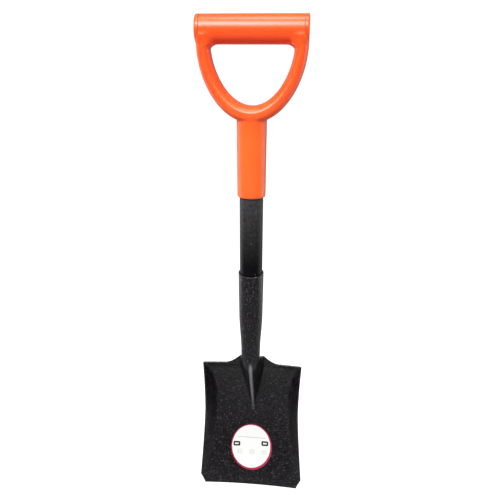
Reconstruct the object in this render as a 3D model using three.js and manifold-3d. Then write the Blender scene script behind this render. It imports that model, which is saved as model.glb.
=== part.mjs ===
// A short square-mouth digging shovel with a moulded D-grip, a steel tube and a pressed steel head.
// Sizes are millimetres. The origin is the middle of the grip bar's underside, +Z runs up the shaft,
// and the hollow side of the pan faces -Y.
import * as THREE from 'three';
import { mergeVertices } from 'three/addons/utils/BufferGeometryUtils.js';
import { ParametricGeometry } from 'three/addons/geometries/ParametricGeometry.js';
import Module from 'manifold-3d';

const { lerp, clamp, smoothstep } = THREE.MathUtils;

// Driving dimensions
const CLEARANCE = 0.3;
const bar = { radius: 15.7, halfLength: 62.3, bore: 12.2 };
const cap = { flange: 4.5, spigot: 9, edge: 1.2, recess: 1 };
const bow = { outerHalf: 62.1, outerDrop: 84.2, innerHalf: 47, innerDrop: 64.8, halfDepth: 14.5, neckDepth: 19 };
const sleeve = { top: -78, bottom: -171.4, topRadius: 17.5, bottomRadius: 17, rim: 2 };
const tube = { top: -90, bottom: -330, radius: 14.4, wall: 1.5 };
const sheet = 1.6;
const socket = { top: -270, bottom: -393, topRadius: 16.05, frontDip: 2, seam: 2.4 };
const pan = { top: -419.5, tip: -619.4, waist: 66.8, waistAt: 72, cornerFlare: 2.7, tipFlare: 8.5, tipCut: 14 };
const rib = { shoulder: 18.5, tail: 3.6, crestRadius: 2.5, top: -407, end: -502, nose: 26, rise: 20 };
const rivet = { head: 4.6, dome: 1.5, shank: 2.4, grip: 6, bulb: 3.3, stem: 1.2, height: -292, turn: 42 };
const screw = { head: 4, headHeight: 2.4, shank: 1.9, length: 11, height: -150 };
const weld = { radius: 1.7, top: -276, bottom: -352 };
const label = { halfWidth: 30.8, halfHeight: 32.8, middle: -564.5, lean: 7, thickness: 0.3 };

const orange = new THREE.MeshStandardMaterial({ color: 0xff5a22, roughness: 0.45, metalness: 0 });
const powderCoat = new THREE.MeshStandardMaterial({ color: 0x1b1b1e, roughness: 0.6, metalness: 0.2 });
const zinc = new THREE.MeshStandardMaterial({ color: 0x9a9ca0, roughness: 0.4, metalness: 0.9 });
const paper = new THREE.MeshStandardMaterial({ color: 0xf2f2ef, roughness: 0.5, metalness: 0 });

const wasm = await Module();
wasm.setup();

// Booleans: a closed geometry as a solid, and a solid back as a geometry.
function solid(geometry) {
  const plain = geometry.clone();
  plain.deleteAttribute('normal');
  plain.deleteAttribute('uv');
  const merged = mergeVertices(plain, 1e-4);
  const vertProperties = new Float32Array(merged.attributes.position.array);
  const triVerts = new Uint32Array(merged.index.array);
  const made = new wasm.Manifold(new wasm.Mesh({ numProp: 3, vertProperties, triVerts }));
  return made;
}

function geometryOf(made) {
  const mesh = made.getMesh();
  const geometry = new THREE.BufferGeometry();
  geometry.setAttribute('position', new THREE.BufferAttribute(mesh.vertProperties, 3));
  geometry.setIndex(new THREE.BufferAttribute(mesh.triVerts, 1));
  return geometry;
}

// A lathe profile of [radius, height] pairs, turned about +Z.
function turned(profile, segments = 32) {
  const points = profile.map(([r, h]) => new THREE.Vector2(r, h));
  return new THREE.LatheGeometry([...points, points[0]], segments).rotateX(Math.PI / 2);
}

// A straight round bar along an axis of length 1, centred on the point.
function rod(radius, length, segments = 32) {
  return new THREE.CylinderGeometry(radius, radius, length, segments).rotateX(Math.PI / 2);
}

// ---- Grip ----

// One side of the bow's outline at a turn from 0 (right end) to pi (left end).
function bowPoint(half, drop, power, turn) {
  const fall = Math.pow(Math.sin(turn), 2 / power);
  return new THREE.Vector2(half * Math.cos(turn), -drop * fall);
}

// The bow: an oval section that runs from one bar end round to the other.
function bowGeometry() {
  const rise = 9;
  const surface = (around, along, target) => {
    const turn = clamp((along - 0.06) / 0.88, 0, 1) * Math.PI;
    const over = Math.max(0.06 - along, along - 0.94, 0) / 0.06;
    const outer = bowPoint(bow.outerHalf, bow.outerDrop, 1.8, turn);
    const inner = bowPoint(bow.innerHalf, bow.innerDrop, 1.7, turn);
    outer.x += Math.sign(outer.x) * over;
    outer.y += over * rise;
    inner.y += over * rise;
    const depth = lerp(bow.halfDepth, bow.neckDepth, Math.pow(Math.sin(turn), 3));
    const angle = around * 2 * Math.PI;
    const across = Math.sign(Math.cos(angle)) * Math.pow(Math.abs(Math.cos(angle)), 0.8);
    const deep = Math.sign(Math.sin(angle)) * Math.pow(Math.abs(Math.sin(angle)), 0.8);
    const centre = outer.clone().lerp(inner, 0.5);
    const shrink = along === 0 || along === 1 ? 0 : 1;
    const side = outer.clone().sub(centre).multiplyScalar(across * shrink);
    target.set(centre.x + side.x, -deep * depth * shrink, centre.y + side.y);
  };
  return new ParametricGeometry(surface, 20, 44);
}

function barGeometry() {
  const length = 2 * (bar.halfLength - cap.flange - CLEARANCE);
  return rod(bar.radius, length, 40).rotateY(Math.PI / 2).translate(0, 0, bar.radius);
}

function sleeveGeometry() {
  const { top, bottom, topRadius, bottomRadius, rim } = sleeve;
  return turned([
    [0, top], [0, bottom], [bottomRadius - rim, bottom], [bottomRadius - 0.6, bottom + 0.6],
    [bottomRadius, bottom + rim], [topRadius, top],
  ], 40);
}

// The space that one end cap takes, with clearance, for cutting the moulding.
function capSpace(side) {
  const length = 12;
  const middle = bar.halfLength - cap.flange - CLEARANCE + length / 2;
  return rod(bar.radius + CLEARANCE, length, 40).rotateY(Math.PI / 2).translate(side * middle, 0, bar.radius);
}

function handleGeometry() {
  const bore = rod(bar.bore + CLEARANCE, 2 * bar.halfLength + 4).rotateY(Math.PI / 2)
    .translate(0, 0, bar.radius);
  const boreTop = tube.top + CLEARANCE;
  const tubeBore = rod(tube.radius + CLEARANCE, boreTop - sleeve.bottom + 10)
    .translate(0, 0, (boreTop + sleeve.bottom - 10) / 2);
  const body = solid(barGeometry()).add(solid(bowGeometry())).add(solid(sleeveGeometry()));
  const hollow = body.subtract(solid(bore)).subtract(solid(tubeBore))
    .subtract(solid(capSpace(1))).subtract(solid(capSpace(-1)));
  return geometryOf(hollow.subtract(solid(screwHole(screw.shank + CLEARANCE))));
}

// A round plug: a flange as wide as the bar, with a spigot inside the bar's bore.
function capGeometry(side) {
  const inner = bar.halfLength - cap.flange;
  const profile = [
    [0, inner - cap.spigot], [0, bar.halfLength - cap.recess], [bar.bore - 3, bar.halfLength - cap.recess],
    [bar.bore - 2, bar.halfLength], [bar.radius - cap.edge, bar.halfLength],
    [bar.radius, bar.halfLength - cap.edge], [bar.radius, inner], [bar.bore, inner],
    [bar.bore, inner - cap.spigot],
  ];
  const turnedCap = turned([...profile].reverse(), 40);
  return turnedCap.rotateY(side * Math.PI / 2).translate(0, 0, bar.radius);
}

// ---- Tube ----

// The head socket's outside radius at a height: nearly straight, then drawn in to the blade.
function socketRadius(z) {
  const below = socket.top - z;
  const drawn = smoothstep(below, 60, 112);
  return socket.topRadius - 0.012 * below - 2.0 * drawn;
}

function tubeGeometry() {
  const swage = (z) => Math.min(tube.radius, socketRadius(z) - sheet - CLEARANCE);
  const heights = [tube.top, -262, socket.top, -290, -310, tube.bottom];
  const outside = heights.map((z) => [swage(z), z]);
  const inside = heights.map((z) => [swage(z) - tube.wall, z]).reverse();
  const pipe = solid(turned([...outside, ...inside].reverse(), 36));
  const holes = [rivetHole(1), rivetHole(-1), screwHole(screw.shank + CLEARANCE)];
  return geometryOf(holes.reduce((left, hole) => left.subtract(solid(hole)), pipe));
}

// ---- Head ----

// How far below the pan's top corner a height is, from 0 to 1 at the cutting edge.
const panShare = (z) => clamp((pan.top - z) / (pan.top - pan.tip), 0, 1);

// Half the pan's width at its rim.
function rimHalf(z) {
  const down = Math.max(0, pan.top - z);
  if (down < pan.waistAt) return pan.waist + pan.cornerFlare * (1 - down / pan.waistAt) ** 2;
  return pan.waist + pan.tipFlare * ((down - pan.waistAt) / 114) ** 1.35;
}

const rimDepth = (z) => lerp(20, 3, panShare(z));

// How deep the floor lies behind the rim: none at either end, most a third of the way down.
function dish(z) {
  const share = panShare(z);
  return 24 * share ** 0.9 * (1 - share) ** 1.5 / 0.2044;
}

function wallWidth(z) {
  const share = panShare(z);
  if (share < 0.35) return lerp(1.5, 14, 1 - ((0.35 - share) / 0.35) ** 2);
  return lerp(8, 14, 1 - ((share - 0.35) / 0.65) ** 2.2);
}

const foldHalf = (z) => rimHalf(z) - wallWidth(z);

function floorDepth(x, z) {
  const crown = lerp(4, 2.5, panShare(z));
  return rimDepth(z) + dish(z) + crown * (1 - (x / foldHalf(z)) ** 2);
}

// Half the rib's width where it meets the floor: a straight V that stops widening near the socket.
function ribHalf(z) {
  const opening = 0.267 * (z + 505);
  const spread = 0.08 * Math.max(0, rib.end - z);
  return Math.max(rib.tail, rib.shoulder * Math.tanh(opening / rib.shoulder)) + spread;
}

function crestDepth(z) {
  const front = -(socketRadius(socket.bottom) - sheet / 2);
  const share = clamp((socket.bottom - z) / (socket.bottom - rib.end), 0, 1);
  return lerp(front, floorDepth(0, z), share ** 1.12);
}

// The rib's half section: a rounded crest and a straight flank down to the floor.
// Share runs from 0 at the crest to 1 at the floor.
function ribPoint(share, z) {
  const shrink = 1 - (1 - clamp((socket.bottom - z) / rib.nose, 0, 1) ** 2.2) ** 0.6;
  const radius = lerp(socketRadius(socket.bottom) - sheet / 2, rib.crestRadius, shrink);
  const centre = crestDepth(z) + radius;
  const footX = ribHalf(z);
  const footY = floorDepth(footX, z);
  const reach = Math.hypot(footX, footY - centre);
  const tangent = Math.atan2(footX, centre - footY) - Math.acos(Math.min(1, radius / reach));
  const startX = radius * Math.sin(tangent);
  const startY = centre - radius * Math.cos(tangent);
  const arc = radius * tangent;
  const flank = Math.hypot(footX - startX, footY - startY);
  const topShare = share < 0.6 ? share / 0.6 * arc / (arc + flank)
    : lerp(arc / (arc + flank), 1, (share - 0.6) / 0.4);
  const travel = lerp(topShare, share, shrink) * (arc + flank);
  if (travel <= arc) {
    const turn = travel / radius;
    return [radius * Math.sin(turn), centre - radius * Math.cos(turn), tangent];
  }
  const along = (travel - arc) / flank;
  return [lerp(startX, footX, along), lerp(startY, footY, along), tangent];
}

const RIB_STEPS = 10;
const NOSE_STEPS = 6;
const FLOOR_STEPS = 8;
const WALL_STEPS = 3;
const HALF_STEPS = RIB_STEPS + FLOOR_STEPS + WALL_STEPS;

// The height of the pan's top edge at a column: it climbs from the corners to the socket.
function edgeHeight(step) {
  const shoulder = clamp((step - NOSE_STEPS) / (RIB_STEPS - NOSE_STEPS), 0, 1);
  if (step <= RIB_STEPS) return lerp(socket.bottom, rib.top, shoulder);
  const out = clamp((step - RIB_STEPS) / FLOOR_STEPS, 0, 1) * 50 / rib.rise;
  return lerp(pan.top, rib.top, clamp(1 - out, 0, 1) ** 1.6);
}

// A point of the pan's middle surface, by column from the crest outwards and by share down the blade.
function panPoint(column, down) {
  const side = Math.sign(column);
  const step = Math.abs(column);
  const wall = clamp((step - RIB_STEPS - FLOOR_STEPS) / WALL_STEPS, 0, 1);
  const z = lerp(edgeHeight(step), pan.tip + pan.tipCut * wall, down);
  if (step <= RIB_STEPS) {
    const [x, y] = ribPoint(step / RIB_STEPS, z);
    return new THREE.Vector3(side * x, y, z);
  }
  const x = wall > 0 ? lerp(foldHalf(z), rimHalf(z), wall)
    : lerp(ribHalf(z), foldHalf(z), (step - RIB_STEPS) / FLOOR_STEPS);
  const y = wall > 0 ? lerp(floorDepth(foldHalf(z), z), rimDepth(z), wall) : floorDepth(x, z);
  return new THREE.Vector3(side * x, y, z);
}

// A ring point of the socket's middle surface, at a turn from the front (0) towards +X.
function socketPoint(turn, down) {
  const front = smoothstep(Math.cos(turn), -0.2, 1);
  const top = socket.top - socket.frontDip * front;
  const z = lerp(top, socket.bottom, down);
  const radius = socketRadius(z) - sheet / 2;
  return new THREE.Vector3(radius * Math.sin(turn), -radius * Math.cos(turn), z);
}

// The turns of the socket's columns, seam to seam, with the rib's nose columns in the middle.
function socketTurns() {
  const reach = ribPoint(0, socket.bottom)[2];
  const seam = Math.PI - socket.seam / 2 / socketRadius(socket.top);
  const turns = [];
  for (let i = -NOSE_STEPS; i <= NOSE_STEPS; i++) turns.push(reach * i / NOSE_STEPS);
  const rearSteps = 8;
  for (let i = 1; i <= rearSteps; i++) {
    turns.push(lerp(reach, seam, i / rearSteps));
    turns.unshift(-lerp(reach, seam, i / rearSteps));
  }
  return turns;
}

// Quads between neighbouring rows of points, as triangles that share one list of vertices.
function grid(rows, triangles, first) {
  for (let r = 0; r + 1 < rows.length; r++) {
    for (let c = 0; c + 1 < rows[r].length; c++) {
      const [a, b] = [first[r] + c, first[r] + c + 1];
      const [d, e] = [first[r + 1] + c, first[r + 1] + c + 1];
      triangles.push(a, d, b, b, d, e);
    }
  }
}

function gridGeometry(patches) {
  const positions = [];
  const triangles = [];
  for (const rows of patches) {
    const first = rows.map((row) => {
      const start = positions.length / 3;
      row.forEach((p) => positions.push(p.x, p.y, p.z));
      return start;
    });
    grid(rows, triangles, first);
  }
  const geometry = new THREE.BufferGeometry();
  geometry.setAttribute('position', new THREE.Float32BufferAttribute(positions, 3));
  geometry.setIndex(triangles);
  const merged = mergeVertices(geometry, 1e-3);
  const index = [...merged.index.array];
  const kept = [];
  for (let i = 0; i < index.length; i += 3) {
    const corners = index.slice(i, i + 3);
    if (new Set(corners).size === 3) kept.push(...corners);
  }
  merged.setIndex(kept);
  return merged;
}

// A sheet given by its middle surface becomes a closed plate: both faces, and a strip round every edge.
function thicken(middle, thickness) {
  middle.computeVertexNormals();
  const { position, normal } = middle.attributes;
  const count = position.count;
  const points = [];
  for (const side of [0.5, -0.5]) {
    for (let i = 0; i < count; i++) {
      const p = new THREE.Vector3().fromBufferAttribute(position, i);
      const n = new THREE.Vector3().fromBufferAttribute(normal, i);
      points.push(...p.addScaledVector(n, side * thickness));
    }
  }
  const index = [...middle.index.array];
  const edges = new Set();
  const triangles = [];
  for (let i = 0; i < index.length; i += 3) {
    const [a, b, c] = index.slice(i, i + 3);
    triangles.push(a, b, c, a + count, c + count, b + count);
    [[a, b], [b, c], [c, a]].forEach(([p, q]) => edges.add(p * count + q));
  }
  for (const edge of edges) {
    const p = Math.floor(edge / count);
    const q = edge % count;
    if (!edges.has(q * count + p)) triangles.push(p, p + count, q, q, p + count, q + count);
  }
  const geometry = new THREE.BufferGeometry();
  geometry.setAttribute('position', new THREE.Float32BufferAttribute(points, 3));
  geometry.setIndex(triangles);
  return geometry;
}

function bladeGeometry() {
  const socketRows = [];
  const turns = socketTurns();
  for (let r = 0; r <= 12; r++) socketRows.push(turns.map((turn) => socketPoint(turn, r / 12)));
  const panRows = [];
  const panSteps = 26;
  for (let r = 0; r <= panSteps; r++) {
    const row = [];
    for (let c = -HALF_STEPS; c <= HALF_STEPS; c++) row.push(panPoint(c, r / panSteps));
    panRows.push(row);
  }
  const plate = solid(thicken(gridGeometry([socketRows, panRows]), sheet));
  return geometryOf(plate.subtract(solid(rivetHole(1))).subtract(solid(rivetHole(-1))));
}

// ---- Joining pieces ----

// Turns a piece made along +Z so that it points out of the shaft, towards the rear, at a height.
function outOfShaft(geometry, turnDegrees, height) {
  const turn = THREE.MathUtils.degToRad(turnDegrees);
  return geometry.rotateX(-Math.PI / 2).rotateZ(turn).translate(0, 0, height);
}

function rivetHole(side) {
  const hole = rod(rivet.shank + CLEARANCE, 20, 16).translate(0, 0, socketRadius(rivet.height));
  return outOfShaft(hole, side * rivet.turn, rivet.height);
}

function screwHole(radius) {
  const hole = rod(radius, 24, 16).translate(0, 0, sleeve.topRadius + 2);
  return outOfShaft(hole, 0, screw.height);
}

function rivetGeometry(side) {
  const seat = socketRadius(rivet.height) + CLEARANCE;
  const { head, dome, shank, grip, bulb, stem } = rivet;
  const hole = stem + CLEARANCE;
  const body = turned([
    [hole, seat + dome], [hole, seat - grip - 3], [shank, seat - grip - 3], [bulb, seat - grip - 1.8],
    [bulb, seat - grip + 0.4], [shank, seat - grip + 1.4], [shank, seat], [head, seat],
    [head - 1.4, seat + dome * 0.8], [stem + 1, seat + dome],
  ], 20);
  return outOfShaft(body, side * rivet.turn, rivet.height);
}

function stemGeometry(side) {
  const seat = socketRadius(rivet.height) + CLEARANCE;
  const { dome, grip, stem } = rivet;
  const end = seat - grip - 3 - CLEARANCE;
  const pin = turned([
    [0, seat + dome - 0.4], [0, end - 1.6], [stem, end - 1.4], [stem + 0.9, end - 0.7],
    [stem + 0.9, end], [stem, end], [stem, seat + dome - 0.4],
  ], 16);
  return outOfShaft(pin, side * rivet.turn, rivet.height);
}

function screwGeometry() {
  const { head, headHeight, shank, length } = screw;
  const seat = sleeve.topRadius + CLEARANCE;
  const body = solid(turned([
    [0, seat + headHeight], [0, seat - length], [0.3, seat - length], [shank, seat - length + 3],
    [shank, seat], [head, seat], [head, seat + headHeight * 0.5], [head * 0.6, seat + headHeight],
  ], 24));
  const slots = [[3.4, 0.9], [0.9, 3.4]].map(([w, h]) =>
    solid(new THREE.BoxGeometry(w, h, 2.4).translate(0, 0, seat + headHeight)));
  const recessed = slots.reduce((left, slot) => left.subtract(slot), body);
  return outOfShaft(geometryOf(recessed), 0, screw.height);
}

// A bead along the seam, flattened on the side that lies against the socket.
function weldGeometry() {
  const length = weld.top - weld.bottom;
  const surface = (around, along, target) => {
    const angle = around * 2 * Math.PI;
    const end = Math.min(along, 1 - along) * length;
    const swell = end === 0 ? 0 : Math.min(1, 0.5 + end / 5);
    const z = weld.bottom + along * length;
    const seat = socketRadius(z) + CLEARANCE;
    const out = 0.45 * weld.radius * (1 + Math.sin(angle)) * swell;
    target.set(weld.radius * Math.cos(angle) * swell, seat + out, z);
  };
  return new ParametricGeometry(surface, 12, 18);
}

function labelGeometry() {
  const rings = 5;
  const spokes = 40;
  const lift = sheet / 2 + CLEARANCE + label.thickness / 2;
  const lean = THREE.MathUtils.degToRad(label.lean);
  const row = (ring) => Array.from({ length: spokes + 1 }, (_, i) => {
    const angle = -(i % spokes) / spokes * 2 * Math.PI;
    const across = ring / rings * label.halfWidth * Math.cos(angle);
    const up = ring / rings * label.halfHeight * Math.sin(angle);
    const x = across * Math.cos(lean) - up * Math.sin(lean);
    const z = label.middle + across * Math.sin(lean) + up * Math.cos(lean);
    return new THREE.Vector3(x, floorDepth(x, z) - lift, z);
  });
  const rows = Array.from({ length: rings + 1 }, (_, ring) => row(ring));
  return thicken(gridGeometry([rows]), label.thickness);
}

// ---- Assembly ----

function add(group, name, geometry, material) {
  const mesh = new THREE.Mesh(geometry, material);
  mesh.name = name;
  group.add(mesh);
}

const shovel = new THREE.Group();
add(shovel, 'd_handle', handleGeometry(), orange);
add(shovel, 'grip_cap_left', capGeometry(-1), orange);
add(shovel, 'grip_cap_right', capGeometry(1), orange);
add(shovel, 'shaft_tube', tubeGeometry(), powderCoat);
add(shovel, 'blade', bladeGeometry(), powderCoat);
add(shovel, 'socket_weld', weldGeometry(), powderCoat);
add(shovel, 'socket_rivet_left', rivetGeometry(1), zinc);
add(shovel, 'socket_rivet_right', rivetGeometry(-1), zinc);
add(shovel, 'rivet_stem_left', stemGeometry(1), zinc);
add(shovel, 'rivet_stem_right', stemGeometry(-1), zinc);
add(shovel, 'handle_screw', screwGeometry(), zinc);
add(shovel, 'label', labelGeometry(), paper);

export default shovel;
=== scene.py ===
import math
import bmesh
import bpy
from mathutils import Matrix, Vector
from mathutils.bvhtree import BVHTree


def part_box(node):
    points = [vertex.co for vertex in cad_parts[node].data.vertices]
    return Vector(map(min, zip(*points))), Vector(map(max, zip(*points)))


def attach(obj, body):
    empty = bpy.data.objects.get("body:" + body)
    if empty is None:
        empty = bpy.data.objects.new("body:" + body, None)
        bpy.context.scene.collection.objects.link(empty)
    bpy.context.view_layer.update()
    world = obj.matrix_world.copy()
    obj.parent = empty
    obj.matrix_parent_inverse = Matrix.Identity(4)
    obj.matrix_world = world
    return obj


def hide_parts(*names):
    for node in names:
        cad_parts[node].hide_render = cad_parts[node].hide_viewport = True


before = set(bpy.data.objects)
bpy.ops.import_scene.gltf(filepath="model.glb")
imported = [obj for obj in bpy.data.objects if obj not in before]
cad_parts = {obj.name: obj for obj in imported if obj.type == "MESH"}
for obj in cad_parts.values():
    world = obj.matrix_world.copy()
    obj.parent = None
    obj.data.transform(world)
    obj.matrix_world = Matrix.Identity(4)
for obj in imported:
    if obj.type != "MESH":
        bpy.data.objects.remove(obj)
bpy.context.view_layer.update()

mm = 0.001
print("frame loaded,", len(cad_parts), "nodes")


# Small helpers

def mix(a, b, share):
    return a + (b - a) * share


def limit(value, low, high):
    return max(low, min(high, value))


def ease(value, low, high):
    share = limit((value - low) / (high - low), 0, 1)
    return share * share * (3 - 2 * share)


def span(node, axis):
    # the lowest and highest place of a CAD node along an axis, in mm
    low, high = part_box(node)
    return round(low[axis] / mm, 2), round(high[axis] / mm, 2)


def linkMesh(name, mesh):
    piece = bpy.data.objects.new(name, mesh)
    bpy.context.scene.collection.objects.link(piece)
    return piece


def meshFrom(name, points, faces):
    mesh = bpy.data.meshes.new(name)
    mesh.from_pydata([tuple(p) for p in points], [], faces)
    mesh.validate()
    for polygon in mesh.polygons:
        polygon.use_smooth = True
    return linkMesh(name, mesh)


def faceOut(piece, merge=1e-6):
    # merges doubles and points every face of a closed shape outwards
    work = bmesh.new()
    work.from_mesh(piece.data)
    bmesh.ops.remove_doubles(work, verts=work.verts, dist=merge)
    bmesh.ops.recalc_face_normals(work, faces=work.faces)
    work.to_mesh(piece.data)
    work.free()
    return piece


def bake(piece):
    # replaces an object's modifiers with the plain mesh that they make
    depsgraph = bpy.context.evaluated_depsgraph_get()
    mesh = bpy.data.meshes.new_from_object(piece.evaluated_get(depsgraph))
    piece.modifiers.clear()
    piece.data = mesh
    mesh.name = piece.name


def sharpen(piece, degrees):
    # smooth shading that breaks at edges sharper than the angle
    work = bmesh.new()
    work.from_mesh(piece.data)
    for edge in work.edges:
        edge.smooth = len(edge.link_faces) == 2 and edge.calc_face_angle(0) < math.radians(degrees)
    for face in work.faces:
        face.smooth = True
    work.to_mesh(piece.data)
    work.free()


def turnedPiece(name, profile, segments=96):
    # a closed profile of (radius, height) pairs in mm, turned about Z
    points, faces = [], []
    count = len(profile)
    for i in range(segments):
        angle = 2 * math.pi * i / segments
        for radius, height in profile:
            points.append((radius * mm * math.cos(angle), radius * mm * math.sin(angle), height * mm))
    for i in range(segments):
        a, b = i * count, (i + 1) % segments * count
        for j in range(count):
            k = (j + 1) % count
            faces.append((a + j, b + j, b + k, a + k))
    return faceOut(meshFrom(name, points, faces))


def roundedProfile(corners, radii, steps=6):
    # a closed outline whose corners are rounded, each by its own radius in mm
    out = []
    count = len(corners)
    for i, corner in enumerate(corners):
        here = Vector(corner)
        before = Vector(corners[i - 1]) - here
        after = Vector(corners[(i + 1) % count]) - here
        radius = min(radii[i], before.length * 0.45, after.length * 0.45)
        if radius <= 0:
            out.append(tuple(here))
            continue
        start = here + before.normalized() * radius
        end = here + after.normalized() * radius
        for s in range(steps + 1):
            t = s / steps
            out.append(tuple((1 - t) ** 2 * start + 2 * t * (1 - t) * here + t * t * end))
    return out


def dress(piece, material):
    piece.data.materials.clear()
    piece.data.materials.append(material)


def placed(piece, matrix):
    piece.data.transform(matrix)
    piece.data.update()
    return piece


# Shader node helpers

def newMaterial(name):
    material = bpy.data.materials.new(name)
    material.use_nodes = True
    material.node_tree.nodes.clear()
    nodes = material.node_tree.nodes
    output = nodes.new("ShaderNodeOutputMaterial")
    shader = nodes.new("ShaderNodeBsdfPrincipled")
    material.node_tree.links.new(shader.outputs[0], output.inputs[0])
    return material, shader


def addNode(tree, kind, settings=None, **inputs):
    node = tree.nodes.new(kind)
    for key, value in (settings or {}).items():
        setattr(node, key, value)
    for key, value in inputs.items():
        setInput(tree, node, key.replace("_", " "), value)
    return node


def setInput(tree, node, key, value):
    socket = node.inputs[int(key[1:])] if key[0] == "#" else node.inputs[key]
    if isinstance(value, bpy.types.NodeSocket):
        tree.links.new(value, socket)
    else:
        socket.default_value = value


def maths(tree, operation, *values, clamp=False):
    node = tree.nodes.new("ShaderNodeMath")
    node.operation = operation
    node.use_clamp = clamp
    for i, value in enumerate(values):
        setInput(tree, node, "#%d" % i, value)
    return node.outputs[0]


def blendColour(tree, share, first, second):
    node = tree.nodes.new("ShaderNodeMix")
    node.data_type = "RGBA"
    setInput(tree, node, "#0", share)
    setInput(tree, node, "#6", first)
    setInput(tree, node, "#7", second)
    return node.outputs[2]


def newGroup(name, inputs, outputs):
    tree = bpy.data.node_groups.new(name, "ShaderNodeTree")
    for title, kind, value in inputs:
        socket = tree.interface.new_socket(name=title, in_out="INPUT", socket_type=kind)
        socket.default_value = value
    for title, kind in outputs:
        tree.interface.new_socket(name=title, in_out="OUTPUT", socket_type=kind)
    return tree, tree.nodes.new("NodeGroupInput"), tree.nodes.new("NodeGroupOutput")


def useGroup(tree, group, **inputs):
    return addNode(tree, "ShaderNodeGroup", {"node_tree": group}, **inputs)


def placeIn(tree):
    # the shaded point in the part's own frame, in metres
    return tree.nodes.new("ShaderNodeTexCoord").outputs["Object"]


def fade(tree, value, start, width):
    # rises from 0 at the start to 1 one width above it
    return maths(tree, "DIVIDE", maths(tree, "SUBTRACT", value, start), width, clamp=True)


def patchyRoughness(tree, grain, look):
    swing = maths(tree, "MULTIPLY", grain.outputs["patches"], look["roughSwing"])
    return maths(tree, "ADD", look["roughness"], swing)


def addBump(tree, shader, grain, strength, distance):
    bump = addNode(tree, "ShaderNodeBump", Strength=strength, Distance=distance, Height=grain.outputs["height"])
    setInput(tree, shader, "Normal", bump.outputs[0])


scalar = "NodeSocketFloat"


def makeGrainGroup():
    # fine moulded or sprayed grain: a height from two noises, and a slow patchy variation
    tree, inside, out = newGroup("fineGrain", [("pitch", scalar, 0.001), ("depth", scalar, 1.0)],
                                 [("height", scalar), ("patches", scalar)])
    place = placeIn(tree)
    scale = maths(tree, "DIVIDE", 1.0, inside.outputs["pitch"])
    slower = maths(tree, "MULTIPLY", scale, 0.33)
    fine = addNode(tree, "ShaderNodeTexNoise", Vector=place, Scale=scale, Detail=2.0, Roughness=0.6)
    coarse = addNode(tree, "ShaderNodeTexNoise", Vector=place, Scale=slower, Detail=1.0, Roughness=0.5)
    both = maths(tree, "ADD", fine.outputs[0], maths(tree, "MULTIPLY", coarse.outputs[0], 0.7))
    tree.links.new(maths(tree, "MULTIPLY", both, inside.outputs["depth"]), out.inputs["height"])
    patches = addNode(tree, "ShaderNodeTexNoise", Vector=place, Scale=28.0, Detail=3.0, Roughness=0.55)
    tree.links.new(patches.outputs[0], out.inputs["patches"])
    return tree


def makeSparkleGroup():
    # fine speckle: every cell of a fine cell pattern has its own tone, and a few are bright flakes
    tree, inside, out = newGroup("flakes", [("pitch", scalar, 0.001), ("share", scalar, 0.15)],
                                 [("flake", scalar), ("tone", scalar)])
    place = placeIn(tree)
    scale = maths(tree, "DIVIDE", 1.0, inside.outputs["pitch"])
    cells = addNode(tree, "ShaderNodeTexVoronoi", Vector=place, Scale=scale, Randomness=1.0)
    split = addNode(tree, "ShaderNodeSeparateColor", Color=cells.outputs["Color"])
    chosen = maths(tree, "LESS_THAN", split.outputs[0], inside.outputs["share"])
    middle = maths(tree, "LESS_THAN", cells.outputs["Distance"], 0.42)
    tree.links.new(maths(tree, "MULTIPLY", chosen, middle), out.inputs["flake"])
    tree.links.new(maths(tree, "POWER", split.outputs[1], 3.0), out.inputs["tone"])
    return tree


def makeWearGroup():
    # rubbed edges: where the surface is sharply convex, broken up by noise
    inputs = [("start", scalar, 0.52), ("width", scalar, 0.04), ("amount", scalar, 0.5)]
    tree, inside, out = newGroup("edgeWear", inputs, [("worn", scalar)])
    sharp = tree.nodes.new("ShaderNodeNewGeometry").outputs["Pointiness"]
    rise = fade(tree, sharp, inside.outputs["start"], inside.outputs["width"])
    place = placeIn(tree)
    patchy = addNode(tree, "ShaderNodeTexNoise", Vector=place, Scale=220.0, Detail=3.0, Roughness=0.65)
    broken = maths(tree, "MULTIPLY", rise, maths(tree, "MULTIPLY", patchy.outputs[0], 1.6))
    worn = maths(tree, "MULTIPLY", broken, inside.outputs["amount"], clamp=True)
    tree.links.new(worn, out.inputs["worn"])
    return tree


fineGrain = makeGrainGroup()
flakes = makeSparkleGroup()
edgeWear = makeWearGroup()


# Materials. Heights and widths in them are in mm.

# the pale steel colour is bare steel at worn edges and also the colour of the painted sheen and the painted
# highlight on the rib's crest
powderLook = dict(dark=(0.0010, 0.0009, 0.0011, 1), light=(0.0026, 0.0022, 0.0027, 1),
                  speckle=(0.034, 0.029, 0.036, 1), flake=(0.115, 0.104, 0.12, 1), bareAndShine=(0.24, 0.23, 0.24, 1),
                  roughness=0.24, roughSwing=0.16, flakeShine=0.12, sheenBottom=-388, sheenFade=15,
                  grainPitch=0.0016, flakePitch=0.0015)


def crestHighlight(tree, crest):
    # a painted highlight: colour turned pale along the narrow crest of the rib, fading at both ends, standing
    # in for the light the crest reflects
    place = placeIn(tree)
    across, depth, height = addNode(tree, "ShaderNodeSeparateXYZ", Vector=place).outputs
    patchy = addNode(tree, "ShaderNodeTexNoise", Vector=place, Scale=260.0, Detail=2.0, Roughness=0.6)
    aside = maths(tree, "ABSOLUTE", maths(tree, "SUBTRACT", across, crest["aside"] * mm))
    narrow = maths(tree, "SUBTRACT", 1.0, maths(tree, "DIVIDE", aside, crest["half"] * mm), clamp=True)
    front = maths(tree, "LESS_THAN", depth, crest["behind"] * mm)
    upper = fade(tree, crest["top"] * mm, height, crest["topFade"] * mm)
    lower = fade(tree, height, crest["end"] * mm, crest["endFade"] * mm)
    along = maths(tree, "MULTIPLY", upper, lower)
    share = maths(tree, "MULTIPLY", along, maths(tree, "MULTIPLY", narrow, front))
    strength = maths(tree, "ADD", crest["strength"], patchy.outputs[0])
    return maths(tree, "MULTIPLY", share, strength, clamp=True)


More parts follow.
